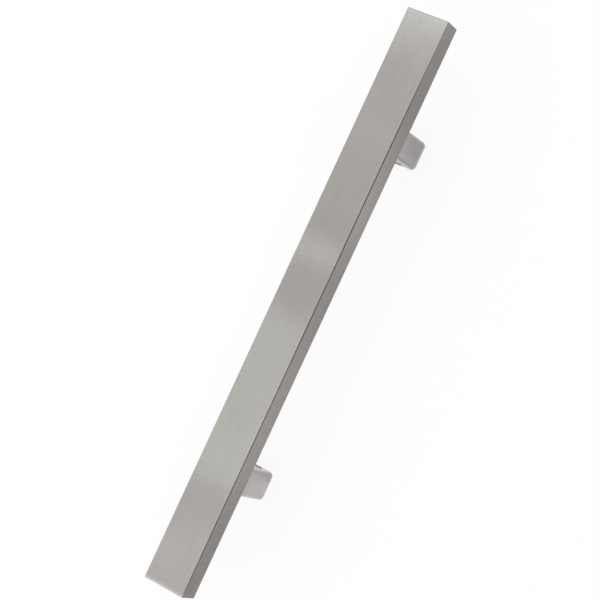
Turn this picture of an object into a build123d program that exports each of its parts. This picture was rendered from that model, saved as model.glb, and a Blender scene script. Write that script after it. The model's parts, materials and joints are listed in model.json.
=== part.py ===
from build123d import *
import os

# Door pull handle, in millimetres.
# The door's face is the plane z = 0 and +Z points out of the door.
# The bar runs along X, and the origin lies on the door's face midway between the posts.

# Grip bar: rectangular tube, closed by a cap at each end
bar_length = 500.0
bar_width = 38.0
bar_depth = 21.0
bar_wall = 1.5
bar_edge_radius = 0.8
bar_inner_radius = 0.5

# End caps: a plate flush with the tube, located by a rim inside it
cap_plate = 2.0
cap_edge_radius = 0.6
cap_rim_depth = 6.0
cap_rim_wall = 1.5
cap_fit = 0.1

# Posts: square bar with rounded corners, bored from the door's side
post_spacing = 300.0
post_side = 25.0
post_corner_radius = 4.0
stand_off = 54.0
post_web = 10.0
post_base_chamfer = 0.5

# Square boss on each post, which stops it turning in the bar's back wall
boss_side = 14.0
boss_corner_radius = 2.0
boss_fit = 0.1
boss_recess = 0.1

# Screws that hold the posts to the bar
screw_diameter = 6.0
screw_head_diameter = 10.0
screw_head_height = 6.0
screw_socket_width = 5.0
screw_socket_depth = 3.0
screw_chamfer = 0.6
screw_past_nut = 0.5
screw_hole_clearance = 0.3
thread_fit = 0.05

# Nut plates inside the bar
nut_length = 30.0
nut_thickness = 8.0
nut_side_gap = 0.3
nut_corner_radius = 2.0

# Spigots: threaded for the door's bolts, with a groove for the grub screw
spigot_diameter = 16.0
spigot_length = 18.0
spigot_chamfer = 1.0
spigot_fit = 0.1
door_thread_diameter = 8.0
groove_width = 6.0
groove_depth = 1.2

# Grub screws, on the side of the posts that faces away from the hand
grub_diameter = 5.0
grub_point_diameter = 3.5
grub_recess = 0.6
grub_socket_width = 2.5
grub_socket_depth = 1.6

# Heights above the door
bar_middle = stand_off + bar_depth / 2
wall_inside = stand_off + bar_wall
socket_floor = stand_off - post_web
grub_height = spigot_length / 2

# The tube lies between the caps' plates, and its hollow takes the rims and nut plates
tube_length = bar_length - 2 * cap_plate
hollow_width = bar_width - 2 * bar_wall
hollow_depth = bar_depth - 2 * bar_wall

# The photograph's upper end lies at +X
ENDS = {"upper": 1, "lower": -1}


def end_plane(side):
    """Plane of the tube's mouth on one side, with its normal pointing out of the bar."""
    mouth = (side * tube_length / 2, 0, bar_middle)
    return Plane(origin=mouth, x_dir=(0, side, 0), z_dir=(side, 0, 0))


def at_post(side, piece):
    """Move a piece that stands on the origin to the post on one side."""
    return Pos(side * post_spacing / 2, 0, 0) * piece


def square(width, corner_radius):
    """Square profile with rounded corners."""
    return RectangleRounded(width, width, corner_radius)


def hex_cut(width, depth):
    """Hexagon key recess, sunk upwards from the plane z = 0."""
    return extrude(RegularPolygon(width / 2, 6, major_radius=False), depth)


def turned(*points):
    """Solid of revolution about Z, from (radius, height) points of half its section."""
    profile = make_face(Polyline(*points, close=True))
    return revolve(Plane.XZ * profile, Axis.Z)


def make_grip_bar():
    """Tube with one square hole in its back wall for each post's boss."""
    outside = RectangleRounded(bar_width, bar_depth, bar_edge_radius)
    hollow = RectangleRounded(hollow_width, hollow_depth, bar_inner_radius)
    tube = extrude(end_plane(1) * (outside - hollow), -tube_length)
    hole_profile = square(boss_side + 2 * boss_fit, boss_corner_radius + boss_fit)
    hole = Pos(0, 0, stand_off - bar_wall) * extrude(hole_profile, 3 * bar_wall)
    for side in ENDS.values():
        tube -= at_post(side, hole)
    return tube


def make_end_cap(side):
    """Plate with softened outer edges and a rim that slides into the tube."""
    plate = extrude(RectangleRounded(bar_width, bar_depth, bar_edge_radius), cap_plate)
    plate = fillet(plate.faces().sort_by(Axis.Z)[-1].edges(), cap_edge_radius)
    rim_width = hollow_width - 2 * cap_fit
    rim_depth = hollow_depth - 2 * cap_fit
    rim_profile = RectangleRounded(rim_width, rim_depth, bar_inner_radius)
    rim_profile -= Rectangle(rim_width - 2 * cap_rim_wall, rim_depth - 2 * cap_rim_wall)
    cap = plate + extrude(rim_profile, -cap_rim_depth)
    return end_plane(side).location * cap


def make_post(side):
    """Post with a spigot socket, a screw hole through its web and a tapped hole for the grub screw."""
    body = extrude(square(post_side, post_corner_radius), stand_off)
    body = chamfer(body.faces().sort_by(Axis.Z)[0].edges(), post_base_chamfer)
    boss = extrude(square(boss_side, boss_corner_radius), bar_wall - boss_recess)
    body += Pos(0, 0, stand_off) * boss
    body -= extrude(Circle(spigot_diameter / 2 + spigot_fit), socket_floor)
    screw_hole = extrude(Circle(screw_diameter / 2 + screw_hole_clearance), post_web + bar_wall)
    body -= Pos(0, 0, socket_floor) * screw_hole
    grub_face = Plane(origin=(0, post_side / 2, grub_height), z_dir=(0, -1, 0))
    body -= extrude(grub_face * Circle(grub_diameter / 2 + thread_fit), post_side / 2)
    return at_post(side, body)


def make_bar_nut(side):
    """Plate with one tapped hole, clamped to the inside of the bar's back wall."""
    nut_width = hollow_width - 2 * (bar_inner_radius + nut_side_gap)
    profile = RectangleRounded(nut_length, nut_width, nut_corner_radius)
    profile -= Circle(screw_diameter / 2 + thread_fit)
    return at_post(side, Pos(0, 0, wall_inside) * extrude(profile, nut_thickness))


def make_post_screw(side):
    """Cap screw whose head sits on the socket's floor and whose end passes the nut plate."""
    head_radius = screw_head_diameter / 2
    shank_radius = screw_diameter / 2
    end = screw_head_height + post_web + bar_wall + nut_thickness + screw_past_nut
    screw = turned(
        (0, 0),
        (head_radius - screw_chamfer, 0),
        (head_radius, screw_chamfer),
        (head_radius, screw_head_height),
        (shank_radius, screw_head_height),
        (shank_radius, end - screw_chamfer),
        (shank_radius - screw_chamfer, end),
        (0, end),
    )
    screw -= hex_cut(screw_socket_width, screw_socket_depth)
    return at_post(side, Pos(0, 0, socket_floor - screw_head_height) * screw)


def make_spigot(side):
    """Turned bush that is bolted to the door, with the post slid over it."""
    radius = spigot_diameter / 2
    bore_radius = door_thread_diameter / 2
    groove_low = grub_height - groove_width / 2
    groove_high = grub_height + groove_width / 2
    spigot = turned(
        (bore_radius, 0),
        (radius, 0),
        (radius, groove_low),
        (radius - groove_depth, groove_low),
        (radius - groove_depth, groove_high),
        (radius, groove_high),
        (radius, spigot_length - spigot_chamfer),
        (radius - spigot_chamfer, spigot_length),
        (bore_radius, spigot_length),
    )
    return at_post(side, spigot)


def make_grub_screw(side):
    """Headless screw from just inside the post's face to the floor of the spigot's groove."""
    radius = grub_diameter / 2
    point_radius = grub_point_diameter / 2
    outer_end = post_side / 2 - grub_recess
    length = outer_end - (spigot_diameter / 2 - groove_depth)
    screw = turned(
        (0, 0),
        (radius, 0),
        (radius, length - (radius - point_radius)),
        (point_radius, length),
        (0, length),
    )
    screw -= hex_cut(grub_socket_width, grub_socket_depth)
    grub_axis = Plane(origin=(0, outer_end, grub_height), z_dir=(0, -1, 0))
    return at_post(side, grub_axis.location * screw)


MAKERS = {
    "end_cap": make_end_cap,
    "post": make_post,
    "bar_nut": make_bar_nut,
    "post_screw": make_post_screw,
    "mounting_spigot": make_spigot,
    "grub_screw": make_grub_screw,
}

nodes = {"grip_bar": make_grip_bar()}
for piece, maker in MAKERS.items():
    for end, side in ENDS.items():
        nodes[f"{piece}_{end}"] = maker(side)

os.makedirs("parts", exist_ok=True)
for name, solid in nodes.items():
    export_step(solid, f"parts/{name}.step")
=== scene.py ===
import functools
import json
import logging
import math
from collections.abc import Iterable
from dataclasses import dataclass
from enum import Enum

import bmesh
import bpy
from mathutils import Matrix, Vector


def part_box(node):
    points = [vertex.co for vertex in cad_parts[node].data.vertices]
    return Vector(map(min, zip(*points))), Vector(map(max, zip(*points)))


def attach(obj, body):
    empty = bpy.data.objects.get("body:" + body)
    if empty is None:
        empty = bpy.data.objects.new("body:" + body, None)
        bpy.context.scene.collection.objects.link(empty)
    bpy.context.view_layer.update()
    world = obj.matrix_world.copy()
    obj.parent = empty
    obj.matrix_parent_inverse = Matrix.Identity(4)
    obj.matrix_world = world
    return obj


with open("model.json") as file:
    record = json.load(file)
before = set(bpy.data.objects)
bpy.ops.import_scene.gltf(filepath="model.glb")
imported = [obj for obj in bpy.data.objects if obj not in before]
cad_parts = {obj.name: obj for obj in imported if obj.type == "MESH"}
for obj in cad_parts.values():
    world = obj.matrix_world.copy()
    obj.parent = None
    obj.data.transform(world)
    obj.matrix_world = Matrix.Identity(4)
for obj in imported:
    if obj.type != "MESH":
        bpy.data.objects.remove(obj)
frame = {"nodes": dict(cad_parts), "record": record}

LOG = logging.getLogger("door_pull")
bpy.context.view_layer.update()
ROOT_BODY = "root"
MM = 0.001

Pair = tuple[float, float]
Triple = tuple[float, float, float]
Grade = dict[float, float]
Node = bpy.types.Node
Socket = bpy.types.NodeSocket
Material = bpy.types.Material

WHITE: Triple = (1.0, 1.0, 1.0)


class End(Enum):
    """The two ends of the handle, with the side of the origin that each lies on."""

    UPPER = 1
    LOWER = -1

    @property
    def word(self) -> str:
        """Word that the names of this end's pieces close with."""
        return self.name.lower()


class Lay(Enum):
    """Direction that a face is brushed in."""

    ALONG_X = (1.0, 0.0, 0.0)
    ALONG_Y = (0.0, 1.0, 0.0)
    ALONG_Z = (0.0, 0.0, 1.0)

    def stretch(self, along: float, across: float) -> Triple:
        """Work out the scale of a pattern that is drawn out in this direction.

        Args:
            along: Scale in the brush's direction.
            across: Scale in the two other directions.

        Returns:
            Scale for each of the frame's axes.
        """
        return tuple(along if part else across for part in self.value)


def live(sockets: Iterable[Socket]) -> list[Socket]:
    """List the sockets that a node uses in its present mode."""
    return [socket for socket in sockets if socket.enabled]


def set_down(name: str, shape: bmesh.types.BMesh, finish: Material) -> bpy.types.Object:
    """Turn a finished shape into an object of the scene.

    Args:
        name: Name of the object and of its mesh.
        shape: Shape in the shared frame, which is used up.
        finish: Material for its whole surface.

    Returns:
        The new object.
    """
    mesh = bpy.data.meshes.new(name)
    shape.to_mesh(mesh)
    shape.free()
    mesh.materials.append(finish)
    made = bpy.data.objects.new(name, mesh)
    bpy.context.scene.collection.objects.link(made)
    return made


@dataclass
class Graph:
    """Node tree of one material, with short calls to fill it."""

    tree: bpy.types.NodeTree

    def add(self, kind: str, **settings: object) -> Node:
        """Add a node.

        Args:
            kind: Name of the node's class, without its ShaderNode prefix.
            settings: Properties to set on the node.

        Returns:
            The new node.
        """
        node = self.tree.nodes.new("ShaderNode" + kind)
        for name, value in settings.items():
            setattr(node, name, value)
        return node

    def feed(self, target: Socket, source: Socket | float | Triple) -> None:
        """Link an input to an output, or set it to a number or a vector.

        Args:
            target: Input socket.
            source: Output socket, number or vector that it takes.
        """
        if isinstance(source, Socket):
            self.tree.links.new(source, target)
        else:
            target.default_value = source

    def place(self) -> Socket:
        """Add the coordinates of each spot in the shared frame."""
        return self.add("TexCoord").outputs["Object"]

    def facing(self) -> Socket:
        """Add the direction that the surface faces at each spot."""
        return self.add("NewGeometry").outputs["Normal"]

    def math(self, operation: str, *values: Socket | float) -> Socket:
        """Add a sum of one or two numbers.

        Args:
            operation: Kind of sum, as the Math node names it.
            values: Sockets or fixed numbers that go in.

        Returns:
            Socket with the result.
        """
        node = self.add("Math", operation=operation)
        for target, value in zip(live(node.inputs), values):
            self.feed(target, value)
        return node.outputs["Value"]

    def vector(self, operation: str, *values: Socket | Triple) -> Socket:
        """Add a sum of one or two vectors, or of a vector and its scale.

        Args:
            operation: Kind of sum, as the Vector Math node names it.
            values: Sockets or fixed vectors that go in.

        Returns:
            Socket with the result.
        """
        node = self.add("VectorMath", operation=operation)
        for target, value in zip(live(node.inputs), values):
            self.feed(target, value)
        (result,) = live(node.outputs)
        return result

    def total(self, *values: Socket) -> Socket:
        """Add up two or more numbers."""
        return functools.reduce(functools.partial(self.math, "ADD"), values)

    def split(self, vector: Socket) -> list[Socket]:
        """Split a vector into its X, Y and Z parts.

        Args:
            vector: Socket with the vector.

        Returns:
            Sockets with the three parts.
        """
        node = self.add("SeparateXYZ")
        self.feed(node.inputs["Vector"], vector)
        return list(node.outputs)

    def join(self, *parts: Socket) -> Socket:
        """Join up to three parts into a vector, whose other parts are 0.

        Args:
            parts: Sockets with the parts, in the order X, Y, Z.

        Returns:
            Socket with the vector.
        """
        node = self.add("CombineXYZ")
        for target, part in zip(node.inputs, parts):
            self.feed(target, part)
        return node.outputs["Vector"]

    def remap(self, value: Socket, reach: Pair, result: Pair, curve: str = "LINEAR") -> Socket:
        """Carry a value from one range over to another, and hold it there.

        Args:
            value: Socket with the value.
            reach: Start and end of the value's own range.
            result: What the start and the end become.
            curve: Way between them, as the Map Range node names it.

        Returns:
            Socket with the result.
        """
        node = self.add("MapRange", interpolation_type=curve)
        for name, number in zip(("From Min", "From Max", "To Min", "To Max"), reach + result):
            self.feed(node.inputs[name], number)
        self.feed(node.inputs["Value"], value)
        return node.outputs["Result"]

    def spread(self, pattern: Socket, low: float, high: float) -> Socket:
        """Spread a pattern that runs from 0 to 1 over another range."""
        return self.remap(pattern, (0.0, 1.0), (low, high))

    def noise(self, vector: Socket, scale: float, layers: float, bite: float = 0.5) -> Socket:
        """Add a noise pattern.

        Args:
            vector: Socket with the coordinates.
            scale: Features in a unit of those coordinates.
            layers: Number of finer layers.
            bite: Share of each layer's strength that the next finer one has.

        Returns:
            Socket with the pattern, from 0 to 1.
        """
        node = self.add("TexNoise")
        for name, number in (("Scale", scale), ("Detail", layers), ("Roughness", bite)):
            self.feed(node.inputs[name], number)
        self.feed(node.inputs["Vector"], vector)
        return node.outputs["Fac"]

    def cloud(self, size: float, layers: float) -> Socket:
        """Add a soft pattern of patches that are alike in all directions."""
        return self.noise(self.place(), 1 / size, layers)

    def relief(self, node: Node, height: Socket, depth: float) -> Node:
        """Raise a pattern on the surface that a shader or a finer relief lies on.

        Args:
            node: Shader or relief that lies on the new relief.
            height: Socket with the pattern, as a share of the depth.
            depth: Height of the relief in metres.

        Returns:
            The new relief.
        """
        bump = self.add("Bump")
        self.feed(bump.inputs["Distance"], depth)
        self.feed(bump.inputs["Height"], height)
        self.feed(node.inputs["Normal"], bump.outputs["Normal"])
        return bump


@dataclass(frozen=True)
class RubbedEdges:
    """Edges of a box that the polishing belt and the hand have rubbed brighter.

    The box lies on the +X side or over the origin, and stands for its twin on the -X side too.
    """

    middle: Triple
    half: Triple
    width: float

    @classmethod
    def round(cls, names: list[str], width: float) -> "RubbedEdges":
        """Take the box from CAD nodes.

        Args:
            names: Nodes that the box closes round.
            width: How far from an edge the rubbing fades out.

        Returns:
            The edges of the box.
        """
        boxes = [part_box(name) for name in names]
        low = Vector([min(box[0][axis] for box in boxes) for axis in range(3)])
        high = Vector([max(box[1][axis] for box in boxes) for axis in range(3)])
        return cls(tuple((low + high) / 2), tuple((high - low) / 2), width)

    def depths(self, graph: Graph) -> list[Socket]:
        """Work out how deep each spot lies below the box's X, Y and Z faces.

        Args:
            graph: Node tree of the material.

        Returns:
            Sockets with the three depths.
        """
        folded = graph.vector("ABSOLUTE", graph.place())
        reach = graph.vector("ABSOLUTE", graph.vector("SUBTRACT", folded, self.middle))
        return graph.split(graph.vector("SUBTRACT", self.half, reach))

    def pattern(self, graph: Graph) -> Socket:
        """Add the mask of the rubbed edges.

        A spot's distance from the nearest edge is the middle one of its three depths.

        Args:
            graph: Node tree of the material.

        Returns:
            Socket with the mask, 1 on an edge and 0 away from it.
        """
        x, y, z = self.depths(graph)
        inner = graph.math("MINIMUM", graph.math("MAXIMUM", x, y), z)
        distance = graph.math("MAXIMUM", graph.math("MINIMUM", x, y), inner)
        return graph.remap(distance, (0.0, self.width), (1.0, 0.0), "SMOOTHSTEP")

    def roll_off(self, graph: Graph, width: float) -> Socket:
        """Add the height of a surface that the belt has rolled off a little towards the outer X face.

        Args:
            graph: Node tree of the material.
            width: How far from that face the surface starts to fall, more and more steeply.

        Returns:
            Socket with the height, 0 on the flat and -1 at the face.
        """
        near = graph.remap(self.depths(graph)[0], (0.0, width), (1.0, 0.0))
        return graph.math("MULTIPLY", near, graph.math("MULTIPLY", near, -1.0))


@dataclass(frozen=True)
class Metal:
    """Bare metal, which each finish of the handle starts from."""

    name: str
    colour: Triple
    roughness: float

    def start(self) -> tuple[Material, Graph, Node]:
        """Start a material with the mean colour and roughness.

        Returns:
            The material, its node tree and its shader.
        """
        made = bpy.data.materials.new(self.name)
        made.use_nodes = True
        shader = made.node_tree.nodes["Principled BSDF"]
        shader.inputs["Metallic"].default_value = 1.0
        shader.inputs["Base Color"].default_value = (*self.colour, 1.0)
        shader.inputs["Roughness"].default_value = self.roughness
        return made, Graph(made.node_tree), shader

    def vary(self, graph: Graph, shader: Node, tone: Socket, roughness: Socket) -> None:
        """Vary the colour and the roughness from place to place.

        Args:
            graph: Node tree of the material.
            shader: Its shader.
            tone: Socket with the share of the mean colour.
            roughness: Socket with the roughness.
        """
        graph.feed(shader.inputs["Base Color"], graph.vector("SCALE", self.colour, tone))
        graph.feed(shader.inputs["Roughness"], roughness)


@dataclass(frozen=True)
class BrushedSteel(Metal):
    """Satin stainless steel with a fine straight grain.

    Faces that the long brush would meet end on are brushed in the end lay instead. Lengths are in metres.
    Tones are shares of the colour and glosses are steps of roughness: how far each pattern carries the mean.
    The surface rolls off towards the ends by the roll depth, which may be 0.
    """

    anisotropy: float
    lay: Lay
    end_lay: Lay
    edges: RubbedEdges
    streak_length: float = 80 * MM
    streak_width: float = 0.8 * MM
    streak_layers: float = 5.0
    streak_bite: float = 0.75
    streak_tone: float = 0.18
    streak_gloss: float = 0.03
    groove_depth: float = 0.025 * MM
    wave_size: float = 60 * MM
    wave_layers: float = 0.0
    wave_depth: float = 0.4 * MM
    patch_size: float = 45 * MM
    patch_layers: float = 2.0
    patch_tone: float = 0.10
    patch_gloss: float = 0.012
    rub_tone: float = 0.06
    rub_gloss: float = 0.04
    roll_width: float = 2.8 * MM
    roll_depth: float = 0.0
    end_on: float = 0.7

    def material(self) -> Material:
        """Build the finish.

        Returns:
            The new material.
        """
        made, graph, shader = self.start()
        shader.inputs["Anisotropic"].default_value = self.anisotropy
        met = self.met_end_on(graph)
        streaks = self.streaks(graph, met)
        patches = graph.cloud(self.patch_size, self.patch_layers)
        rubbed = self.edges.pattern(graph)
        tone = graph.total(
            graph.spread(streaks, 1 - self.streak_tone, 1 + self.streak_tone),
            graph.spread(patches, -self.patch_tone, self.patch_tone),
            graph.spread(rubbed, 0.0, self.rub_tone),
        )
        gloss = graph.total(
            graph.spread(streaks, self.roughness - self.streak_gloss, self.roughness + self.streak_gloss),
            graph.spread(patches, -self.patch_gloss, self.patch_gloss),
            graph.spread(rubbed, 0.0, -self.rub_gloss),
        )
        self.vary(graph, shader, tone, gloss)
        grooves = graph.relief(shader, streaks, self.groove_depth)
        waves = graph.relief(grooves, graph.cloud(self.wave_size, self.wave_layers), self.wave_depth)
        if self.roll_depth:
            graph.relief(waves, self.edges.roll_off(graph, self.roll_width), self.roll_depth)
        self.comb(graph, shader, met)
        return made

    def met_end_on(self, graph: Graph) -> Socket:
        """Mark the faces that the long brush would meet end on.

        Args:
            graph: Node tree of the material.

        Returns:
            Socket with 1 on those faces and 0 elsewhere.
        """
        along = graph.vector("DOT_PRODUCT", graph.facing(), self.lay.value)
        return graph.math("GREATER_THAN", graph.math("ABSOLUTE", along), self.end_on)

    def choose(self, graph: Graph, met: Socket, usual: Triple, other: Triple) -> Socket:
        """Choose between two vectors by the kind of face.

        Args:
            graph: Node tree of the material.
            met: Mark of the faces that are brushed in the end lay.
            usual: Vector for all other faces.
            other: Vector for the marked faces.

        Returns:
            Socket with the chosen vector.
        """
        node = graph.add("Mix", data_type="VECTOR")
        for target, source in zip(live(node.inputs), (met, usual, other)):
            graph.feed(target, source)
        (chosen,) = live(node.outputs)
        return chosen

    def streaks(self, graph: Graph, met: Socket) -> Socket:
        """Add the long fine lines that the brush leaves.

        Args:
            graph: Node tree of the material.
            met: Mark of the faces that are brushed in the end lay.

        Returns:
            Socket with the pattern, from 0 to 1.
        """
        along = 1 / self.streak_length
        across = 1 / self.streak_width
        scale = self.choose(graph, met, self.lay.stretch(along, across), self.end_lay.stretch(along, across))
        drawn_out = graph.vector("MULTIPLY", graph.place(), scale)
        return graph.noise(drawn_out, 1.0, self.streak_layers, self.streak_bite)

    def comb(self, graph: Graph, shader: Node, met: Socket) -> None:
        """Spread the gloss across the brush's direction.

        Args:
            graph: Node tree of the material.
            shader: Shader whose gloss is spread.
            met: Mark of the faces that are brushed in the end lay.
        """
        brush = self.choose(graph, met, self.lay.value, self.end_lay.value)
        graph.feed(shader.inputs["Tangent"], graph.vector("CROSS_PRODUCT", graph.facing(), brush))


@dataclass(frozen=True)
class TurnedSteel(Metal):
    """Machined steel with the fine rings that a lathe leaves about each post's axis."""

    post_spacing: float
    ring_width: float = 0.25 * MM
    ring_layers: float = 2.0
    ring_tone: float = 0.08
    ring_gloss: float = 0.08
    ring_depth: float = 0.004 * MM

    def material(self) -> Material:
        """Build the finish.

        Returns:
            The new material.
        """
        made, graph, shader = self.start()
        rings = graph.noise(self.ring_place(graph), 1 / self.ring_width, self.ring_layers)
        tone = graph.spread(rings, 1 - self.ring_tone, 1 + self.ring_tone)
        gloss = graph.spread(rings, self.roughness - self.ring_gloss, self.roughness + self.ring_gloss)
        self.vary(graph, shader, tone, gloss)
        graph.relief(shader, rings, self.ring_depth)
        return made

    def ring_place(self, graph: Graph) -> Socket:
        """Work out the distance from the nearer post's axis and the height above the door.

        Args:
            graph: Node tree of the material.

        Returns:
            Socket with the two as a vector.
        """
        x, y, z = graph.split(graph.place())
        offset = graph.math("SUBTRACT", graph.math("ABSOLUTE", x), self.post_spacing / 2)
        radius = graph.vector("LENGTH", graph.join(offset, y))
        return graph.join(radius, z)


def dress(node: str, finish: Material) -> None:
    """Give a CAD node its finish.

    Args:
        node: Name of the node.
        finish: Material for its whole surface.
    """
    piece = frame["nodes"][node]
    piece.data.materials.clear()
    piece.data.materials.append(finish)
    LOG.info("dressed %s in %s", node, finish.name)


@dataclass
class GripBar:
    """The tube that the hand closes round, with its two caps."""

    finish: BrushedSteel

    def build(self) -> None:
        """Dress the tube and its caps in one finish, so that the ground seams vanish."""
        satin = self.finish.material()
        dress("grip_bar", satin)
        for end in End:
            dress(f"end_cap_{end.word}", satin)


@dataclass
class PostSet:
    """The two posts with the fasteners that they hold.

    The ridge of the door bolts' thread starts half a pitch above the door. Its foot is given as a share of
    the pitch.
    """

    finish: BrushedSteel
    turned: TurnedSteel
    plain: TurnedSteel
    thread_pitch: float = 1.25 * MM
    thread_depth: float = 0.62 * MM
    thread_radius: float = 4.0 * MM
    thread_foot: float = 0.9
    thread_steps: int = 32

    def build(self) -> None:
        """Dress the posts and their fasteners, and cut the door bolts' threads."""
        satin = self.finish.material()
        turned = self.turned.material()
        plain = self.plain.material()
        for end in End:
            dress(f"post_{end.word}", satin)
            dress(f"mounting_spigot_{end.word}", turned)
            for piece in ("bar_nut", "post_screw", "grub_screw"):
                dress(f"{piece}_{end.word}", plain)
            self.door_thread(end, turned)

    def door_thread(self, end: End, finish: Material) -> None:
        """Wind the thread of one spigot as a ridge on the wall of its bore.

        Args:
            end: End of the handle that the spigot belongs to.
            finish: Material of the thread.
        """
        name = f"door_thread_{end.word}"
        low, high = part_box(f"mounting_spigot_{end.word}")
        middle = (low + high) / 2
        turns = math.floor((high.z - low.z) / self.thread_pitch) - 1
        foot_low = Vector((self.thread_radius, 0, low.z + self.thread_pitch / 2))
        foot_high = foot_low + Vector((0, 0, self.thread_pitch * self.thread_foot))
        crest = foot_low + Vector((-self.thread_depth, 0, self.thread_pitch / 2))
        shape = bmesh.new()
        shape.faces.new([shape.verts.new(corner) for corner in (foot_low, crest, foot_high)])
        bmesh.ops.spin(
            shape,
            geom=shape.verts[:] + shape.edges[:] + shape.faces[:],
            cent=(0, 0, 0),
            axis=(0, 0, 1),
            dvec=(0, 0, self.thread_pitch / self.thread_steps),
            angle=turns * math.tau,
            steps=turns * self.thread_steps,
        )
        bmesh.ops.recalc_face_normals(shape, faces=shape.faces[:])
        bmesh.ops.translate(shape, verts=shape.verts[:], vec=(middle.x, middle.y, 0))
        piece = set_down(name, shape, finish)
        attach(piece, ROOT_BODY)
        LOG.info("wound %s in %d turns", name, turns)


@dataclass(frozen=True)
class Softbox:
    """Flat lamp with an even face.

    Radiance is the brightness of its face, where 1 is white.
    """

    name: str
    place: Triple
    aim: Triple
    width: float
    depth: float
    radiance: float
    colour: Triple = WHITE

    def build(self) -> None:
        """Hang the lamp and turn it to its aim."""
        lamp = bpy.data.lights.new(self.name, "AREA")
        lamp.shape = "RECTANGLE"
        lamp.size = self.width
        lamp.size_y = self.depth
        lamp.color = self.colour
        lamp.energy = math.pi * self.width * self.depth * self.radiance
        hung = bpy.data.objects.new(self.name, lamp)
        hung.location = self.place
        hung.rotation_mode = "QUATERNION"
        hung.rotation_quaternion = (Vector(self.aim) - Vector(self.place)).to_track_quat("-Z", "Y")
        bpy.context.scene.collection.objects.link(hung)


@dataclass(frozen=True)
class Rail:
    """Rail over the handle from which strip lamps hang, facing straight down.

    The strips are as deep as each other, and the middle of their depth lies at one Y and one height.
    """

    y: float
    height: float
    depth: float

    def strip(self, name: str, start: float, end: float, radiance: float, colour: Triple = WHITE) -> Softbox:
        """Hang one strip.

        Args:
            name: Name of the lamp.
            start: X at which the strip starts.
            end: X at which it ends.
            radiance: Brightness of its face.
            colour: Colour of its light.

        Returns:
            The lamp.
        """
        middle = (start + end) / 2
        place = (middle, self.y, self.height)
        return Softbox(name, place, (middle, self.y, 0.0), end - start, self.depth, radiance, colour)


@dataclass(frozen=True)
class Card:
    """Card beside the handle that glows in greys and shows only in its reflections, as a painted reflection
    of light and shade; it lights nothing and casts no shadow.

    The card runs along X between its ends, and its two long edges lie at the places (y, z) given.
    Its grade is the brightness at each of a few places along X, or at any one place where it is even.
    """

    name: str
    ends: Pair
    near: Pair
    far: Pair
    grade: Grade
    tint: Triple = (1.01, 0.98, 1.0)
    new_stop: float = 0.5

    @classmethod
    def flat(cls, name: str, ends: Pair, edges: Pair, grade: Grade, height: float = 3 * MM) -> "Card":
        """Lay a card flat, just above the floor.

        Args:
            name: Name of the card.
            ends: X of its two ends.
            edges: Y of its two long edges.
            grade: Brightness at places along X.
            height: Height above the floor.

        Returns:
            The card.
        """
        near, far = edges
        return cls(name, ends, (near, height), (far, height), grade)

    def build(self) -> None:
        """Cut the card and set it up."""
        start, end = self.ends
        shape = bmesh.new()
        first = [shape.verts.new((start, *edge)) for edge in (self.near, self.far)]
        drawn = bmesh.ops.extrude_edge_only(shape, edges=[shape.edges.new(first)])
        moved = [item for item in drawn["geom"] if isinstance(item, bmesh.types.BMVert)]
        bmesh.ops.translate(shape, verts=moved, vec=(end - start, 0, 0))
        card = set_down(self.name, shape, self.finish())
        card.visible_camera = False
        card.visible_diffuse = False
        card.visible_shadow = False

    def grey(self, tone: float) -> tuple[float, float, float, float]:
        """Mix the card's grey of one brightness."""
        return (*(tone * part for part in self.tint), 1.0)

    def finish(self) -> Material:
        """Build the card's glowing greys, which paint light and shade into the metal's reflections.

        Returns:
            The new material.
        """
        made = bpy.data.materials.new(self.name)
        made.use_nodes = True
        graph = Graph(made.node_tree)
        glow = graph.add("Emission")
        if len(self.grade) > 1:
            graph.feed(glow.inputs["Color"], self.shading(graph))
        else:
            (tone,) = self.grade.values()
            glow.inputs["Color"].default_value = self.grey(tone)
        graph.feed(made.node_tree.nodes["Material Output"].inputs["Surface"], glow.outputs["Emission"])
        return made

    def shading(self, graph: Graph) -> Socket:
        """Let the greys run into each other along X.

        Args:
            graph: Node tree of the material.

        Returns:
            Socket with the colour.
        """
        low, high = sorted(self.ends)
        ramp = graph.add("ValToRGB")
        ramp.color_ramp.interpolation = "EASE"
        stops = ramp.color_ramp.elements
        while len(stops) < len(self.grade):
            stops.new(self.new_stop)
        for stop, (x, tone) in zip(stops, sorted(self.grade.items())):
            stop.position = (x - low) / (high - low)
            stop.color = self.grey(tone)
        along = graph.split(graph.place())[0]
        graph.feed(ramp.inputs["Fac"], graph.remap(along, (low, high), (0.0, 1.0)))
        return ramp.outputs["Color"]


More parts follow.
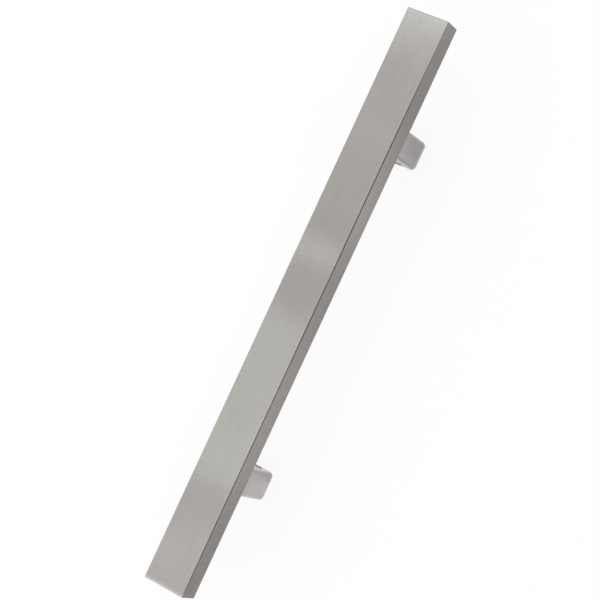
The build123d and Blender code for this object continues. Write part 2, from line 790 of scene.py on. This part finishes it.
@dataclass
class Studio:
    """White sweep, soft lamps and the camera at the photograph's angle.

    Lengths are in metres, apart from the lens, and angles are in degrees.
    """

    lamps: list[Softbox]
    cards: list[Card]
    floor_reach: float = 6.0
    floor_white: float = 0.95
    floor_glow: float = 0.88
    sky: float = 0.90
    lens: float = 110.585
    aim: Triple = (1.89 * MM, 16.64 * MM, 33.81 * MM)
    distance: float = 1503.3 * MM
    azimuth: float = 0.965
    elevation: float = 64.174
    roll: float = -66.041

    def build(self) -> None:
        """Set up everything that isn't part of the handle."""
        bpy.context.scene.view_settings.view_transform = "Standard"
        self.world()
        self.floor()
        for item in self.lamps + self.cards:
            item.build()
        self.camera()

    def world(self) -> None:
        """Surround the scene with an even pale light."""
        made = bpy.data.worlds.new("studio_air")
        made.use_nodes = True
        back = made.node_tree.nodes["Background"]
        back.inputs["Color"].default_value = (*WHITE, 1.0)
        back.inputs["Strength"].default_value = self.sky
        bpy.context.scene.world = made

    def floor(self) -> None:
        """Lay the pale floor that the handle rests on."""
        shape = bmesh.new()
        bmesh.ops.create_grid(shape, x_segments=1, y_segments=1, size=self.floor_reach / 2)
        floor = set_down("floor", shape, self.floor_finish())

    def floor_finish(self) -> Material:
        """Build the floor's matt white, lifted towards white where it is seen or mirrored.

        Returns:
            The new material.
        """
        made = bpy.data.materials.new("floor_white")
        made.use_nodes = True
        graph = Graph(made.node_tree)
        nodes = made.node_tree.nodes
        shader = nodes["Principled BSDF"]
        white = self.floor_white
        shader.inputs["Base Color"].default_value = (white, white, white, 1.0)
        shader.inputs["Roughness"].default_value = 1.0
        shader.inputs["Specular IOR Level"].default_value = 0.0
        glow = graph.add("Emission")
        ray = graph.add("LightPath").outputs
        seen = graph.math("MAXIMUM", ray["Is Camera Ray"], ray["Is Glossy Ray"])
        shown = graph.math("MAXIMUM", seen, ray["Is Transmission Ray"])
        mix = graph.add("MixShader")
        share = graph.math("MULTIPLY", shown, self.floor_glow)
        for target, source in zip(mix.inputs, (share, shader.outputs["BSDF"], glow.outputs["Emission"])):
            graph.feed(target, source)
        graph.feed(nodes["Material Output"].inputs["Surface"], mix.outputs["Shader"])
        return made

    def camera(self) -> None:
        """Place the camera from its aim, distance and angles."""
        turn = math.radians(self.azimuth)
        rise = math.radians(self.elevation)
        back = Vector((
            math.sin(turn) * math.cos(rise),
            -math.cos(turn) * math.cos(rise),
            math.sin(rise),
        ))
        lens = bpy.data.cameras.new("camera")
        lens.lens = self.lens
        camera = bpy.data.objects.new("camera", lens)
        camera.location = Vector(self.aim) + back * self.distance
        level = (-back).to_track_quat("-Z", "Y").to_matrix()
        turned = level @ Matrix.Rotation(math.radians(self.roll), 3, "Z")
        camera.rotation_mode = "QUATERNION"
        camera.rotation_quaternion = turned.to_quaternion()
        bpy.context.scene.collection.objects.link(camera)
        bpy.context.scene.camera = camera


def hang_lamps() -> list[Softbox]:
    """Hang the lamps that the front of the bar mirrors, and the one that lights its lower end.

    Each strip makes one of the soft bands on the front, and they follow each other from the upper end down.
    The first and the last of them show where the front rolls off towards its ends.

    Returns:
        The lamps.
    """
    end_rail = Rail(y=0.2, height=1.0, depth=1.6)
    high_rail = Rail(y=0.44, height=1.0, depth=1.2)
    low_rail = Rail(y=0.12, height=0.3, depth=0.36)
    pale = (0.9, 1.0, 0.98)
    cool = (0.82, 1.0, 0.93)
    lower_end_lamp = Softbox(
        name="lower_end_lamp",
        place=(-0.95, 0.41, 0.62),
        aim=(-0.25, 0.0, 0.07),
        width=0.8,
        depth=0.7,
        radiance=0.5,
    )
    return [
        end_rail.strip("outer_strip", 0.50, 0.99, radiance=0.54, colour=pale),
        end_rail.strip("end_strip", 0.397, 0.50, radiance=0.80, colour=pale),
        high_rail.strip("high_strip", -0.03, 0.32, radiance=0.10),
        low_rail.strip("upper_strip", 0.0855, 0.2305, radiance=0.04),
        low_rail.strip("narrow_strip", 0.037, 0.061, radiance=0.26),
        low_rail.strip("middle_strip", -0.133, -0.013, radiance=0.175, colour=cool),
        low_rail.strip("under_strip", -0.189, -0.133, radiance=0.23, colour=cool),
        low_rail.strip("low_strip", -0.272, -0.228, radiance=0.10),
        high_rail.strip("wide_strip", -0.52, -0.025, radiance=0.16),
        high_rail.strip("rim_strip", -0.90, -0.52, radiance=0.42),
        lower_end_lamp,
    ]


def set_up_cards() -> list[Card]:
    """Set up the glowing cards that the side of the bar, its edges and the posts mirror, which paint the
    light and shade in those reflections.

    Those for the bar follow each other over the floor away from the handle, then up and back overhead.

    Returns:
        The cards.
    """
    whole = (0.6, -0.6)
    side_grade = {
        0.6: 1.12, 0.262: 1.12, 0.235: 0.94, 0.2: 0.94, 0.09: 1.45,
        0.02: 1.14, -0.12: 1.30, -0.235: 0.94, -0.262: 0.84, -0.6: 0.84,
    }
    far_grade = {
        0.45: 1.0, 0.40: 0.9, 0.34: 0.14, 0.22: 0.1,
        -0.08: 0.1, -0.16: 0.16, -0.25: 0.16, -0.35: 0.12,
    }
    brow_grade = {0.6: 1.8, 0.5: 1.7, 0.43: 0.22, 0.22: 0.08, -0.05: 0.08, -0.24: 0.38, -0.5: 0.3}
    # Painted shade: brightness of the floor's shade round the posts, as the posts mirror it.
    post_shade_grade = {
        0.3: 0.63, 0.150: 0.63, 0.142: 0.74, 0.130: 0.57,
        0.0: 0.6, -0.12: 0.66, -0.143: 0.745, -0.151: 0.93,
    }
    cards = [
        Card.flat("shade_card", whole, (-0.037, -0.050), {0.0: 0.15}),
        Card.flat("foot_card", whole, (-0.050, -0.092), side_grade),
        Card.flat("floor_card", whole, (-0.092, -0.35), {0.0: 0.08}),
        Card.flat("apron_card", whole, (-0.35, -1.0), {0.0: 0.04}),
        Card("far_card", (0.45, -0.45), near=(-1.0, 0.003), far=(-1.0, 1.6), grade=far_grade),
        Card("brow_card", whole, near=(-1.0, 1.6), far=(-0.15, 2.2), grade=brow_grade),
        # Painted shade: this card stands in for the floor's shade round the posts, seen only in their
        # reflections.
        Card.flat("post_shade_card", (0.3, -0.17), (-0.010, -0.029), post_shade_grade),
        Card.flat("post_glint", (0.150, 0.132), (-0.026, -0.031), {0.0: 0.9}, height=3.2 * MM),
    ]
    # Painted shadow: dark cards at the inner foot of each post, seen only in reflections, stand in for the
    # contact shadow there.
    foot_shadow_start, foot_shadow_end = 0.1378, 0.1355
    for end in End:
        ends = (end.value * foot_shadow_start, end.value * foot_shadow_end)
        cards.append(Card.flat(f"{end.word}_foot_line", ends, (0.0, 0.010), {0.0: 0.05}, height=0.4 * MM))
    return cards


def bolt_spacing() -> float:
    """Read the distance between the door bolts from the record.

    Returns:
        The distance in metres.
    """
    bolts = next(mount for mount in frame["record"]["mounts"] if mount["name"] == "door_bolts")
    return bolts["dims"]["spacing_x_mm"] * MM


def main() -> None:
    """Dress the handle, set up the studio and report each piece."""
    logging.basicConfig(level=logging.INFO, format="%(message)s")
    spacing = bolt_spacing()
    bar_nodes = ["grip_bar", "end_cap_upper", "end_cap_lower"]
    bar_satin = BrushedSteel(
        name="bar_satin",
        colour=(0.425, 0.405, 0.383),
        roughness=0.24,
        anisotropy=1.0,
        lay=Lay.ALONG_X,
        end_lay=Lay.ALONG_Y,
        edges=RubbedEdges.round(bar_nodes, width=1.2 * MM),
        rub_tone=0.08,
        rub_gloss=0.015,
        roll_depth=0.26 * MM,
    )
    post_satin = BrushedSteel(
        name="post_satin",
        colour=(0.469, 0.455, 0.442),
        roughness=0.32,
        anisotropy=0.5,
        lay=Lay.ALONG_Z,
        end_lay=Lay.ALONG_X,
        edges=RubbedEdges.round(["post_upper"], width=2.0 * MM),
        streak_length=30 * MM,
        patch_size=7 * MM,
        patch_tone=0.14,
        patch_gloss=0.03,
    )
    turned = TurnedSteel("turned_steel", colour=(0.42, 0.415, 0.41), roughness=0.3, post_spacing=spacing)
    plain = TurnedSteel("plain_steel", colour=(0.38, 0.375, 0.37), roughness=0.35, post_spacing=spacing)
    GripBar(bar_satin).build()
    PostSet(post_satin, turned, plain).build()
    Studio(lamps=hang_lamps(), cards=set_up_cards()).build()


if __name__ == "__main__":
    main()
